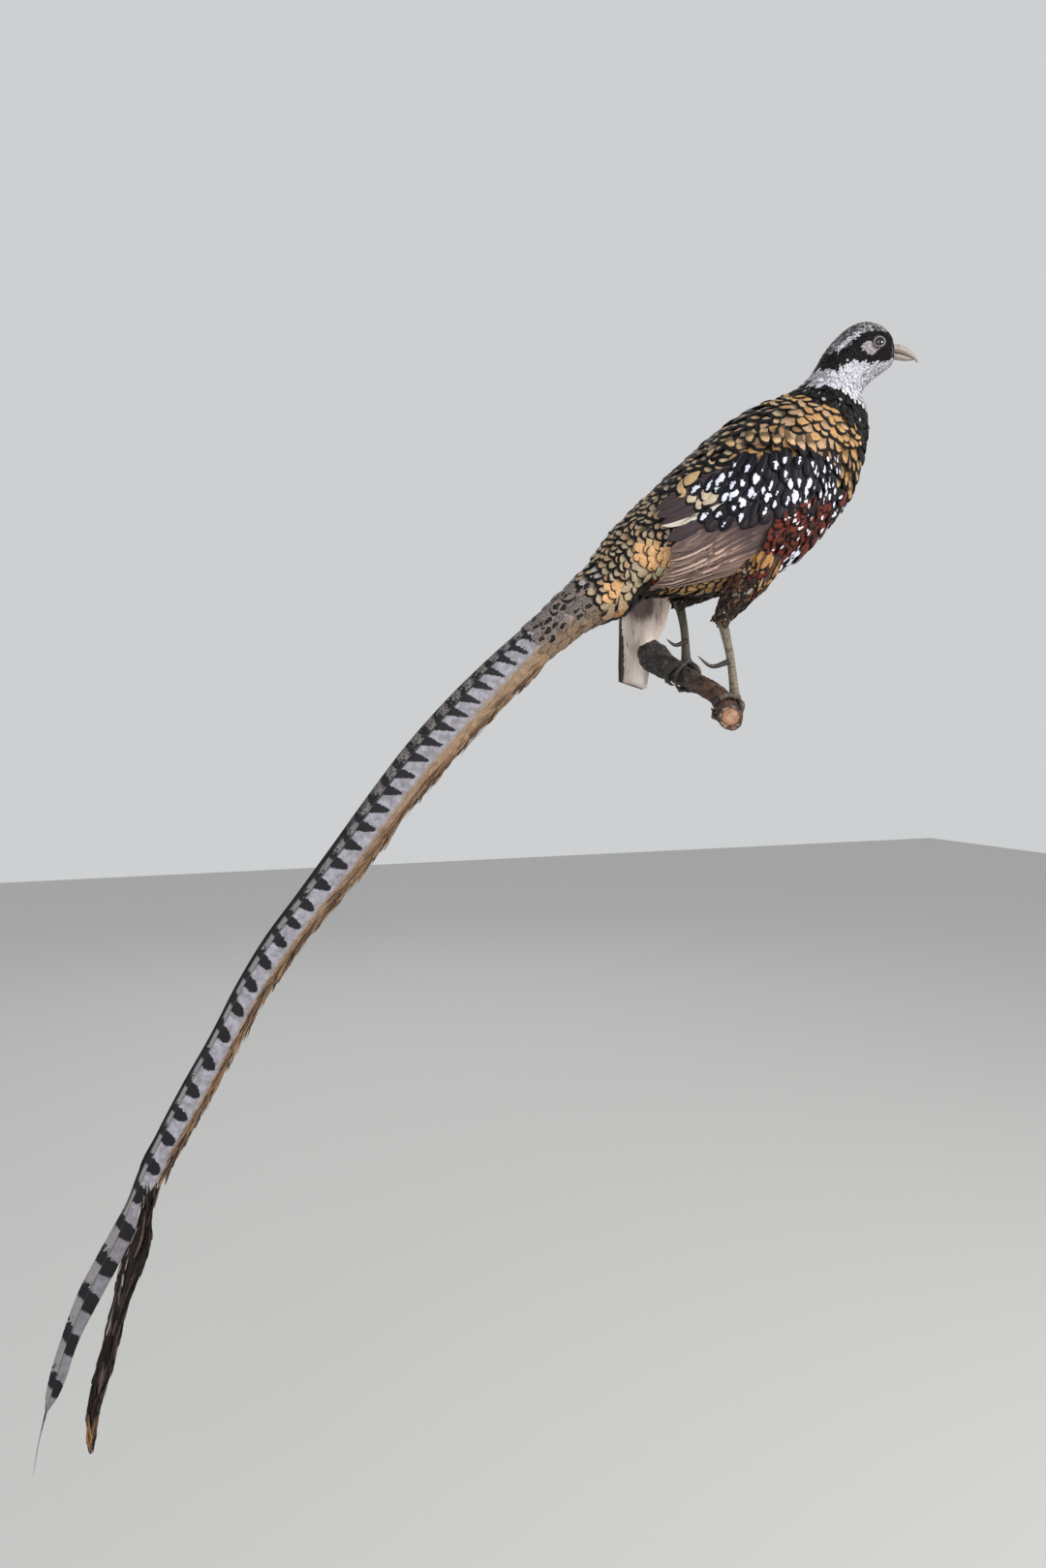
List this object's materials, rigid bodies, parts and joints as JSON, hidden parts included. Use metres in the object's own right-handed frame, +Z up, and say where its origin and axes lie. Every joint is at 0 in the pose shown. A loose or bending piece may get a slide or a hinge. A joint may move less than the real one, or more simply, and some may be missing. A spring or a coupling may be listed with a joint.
{
  "type": "taxidermy pheasant",
  "caption": "Mounted cock Reeves's pheasant with a very long barred tail, perched on a short branch from a flat-backed log that hangs on a wall",
  "frame": {"origin": "on the flat back of the log, near its middle, where it lies against the wall", "axes": "+Z up, +Y into the wall, +X to the right along the wall, which is where the bird looks"},
  "size_m": [0.868, 0.2433, 1.1605],
  "materials": {
    "plumage_head": "soft short feathers, white with a black mask and collar",
    "plumage_body": "overlapping golden feathers edged with black",
    "plumage_wing": "blue-black coverts with white centres",
    "plumage_flight": "folded brown flight feathers with buff streaks",
    "plumage_tail": "long silver-grey feathers barred with black, tan edges",
    "bill_horn": "dry pale horn, low sheen",
    "claw_horn": "dark horn, low sheen",
    "leg_skin": "dried scaly grey-brown skin",
    "eye": "dark brown glass eye, polished",
    "bleached_wood": "weathered pale wood, matte",
    "bark": "dark smooth bark, pale sawn end"
  },
  "bodies": {
    "root": {"perch_log": "bleached_wood", "perch_branch": "bark", "eye_left": "eye", "eye_right": "eye", "head": "plumage_head", "neck": "plumage_head", "trunk": "plumage_body", "rump": "plumage_body", "bill_upper": "bill_horn", "bill_lower": "bill_horn", "wing_left": "plumage_wing", "wing_right": "plumage_wing", "flight_feathers_left": "plumage_flight", "flight_feathers_right": "plumage_flight", "tail_upper": "plumage_tail", "tail_middle": "plumage_tail", "tail_lower": "plumage_tail", "tail_tip_left": "plumage_tail", "tail_tip_right": "plumage_tail", "thigh_left": "plumage_body", "shank_left": "leg_skin", "foot_left": "leg_skin", "spur_left": "claw_horn", "claw_outer_left": "claw_horn", "claw_middle_left": "claw_horn", "claw_inner_left": "claw_horn", "claw_hind_left": "claw_horn", "thigh_right": "plumage_body", "shank_right": "leg_skin", "foot_right": "leg_skin", "spur_right": "claw_horn", "claw_outer_right": "claw_horn", "claw_middle_right": "claw_horn", "claw_inner_right": "claw_horn", "claw_hind_right": "claw_horn"}
  },
  "joints": []
}
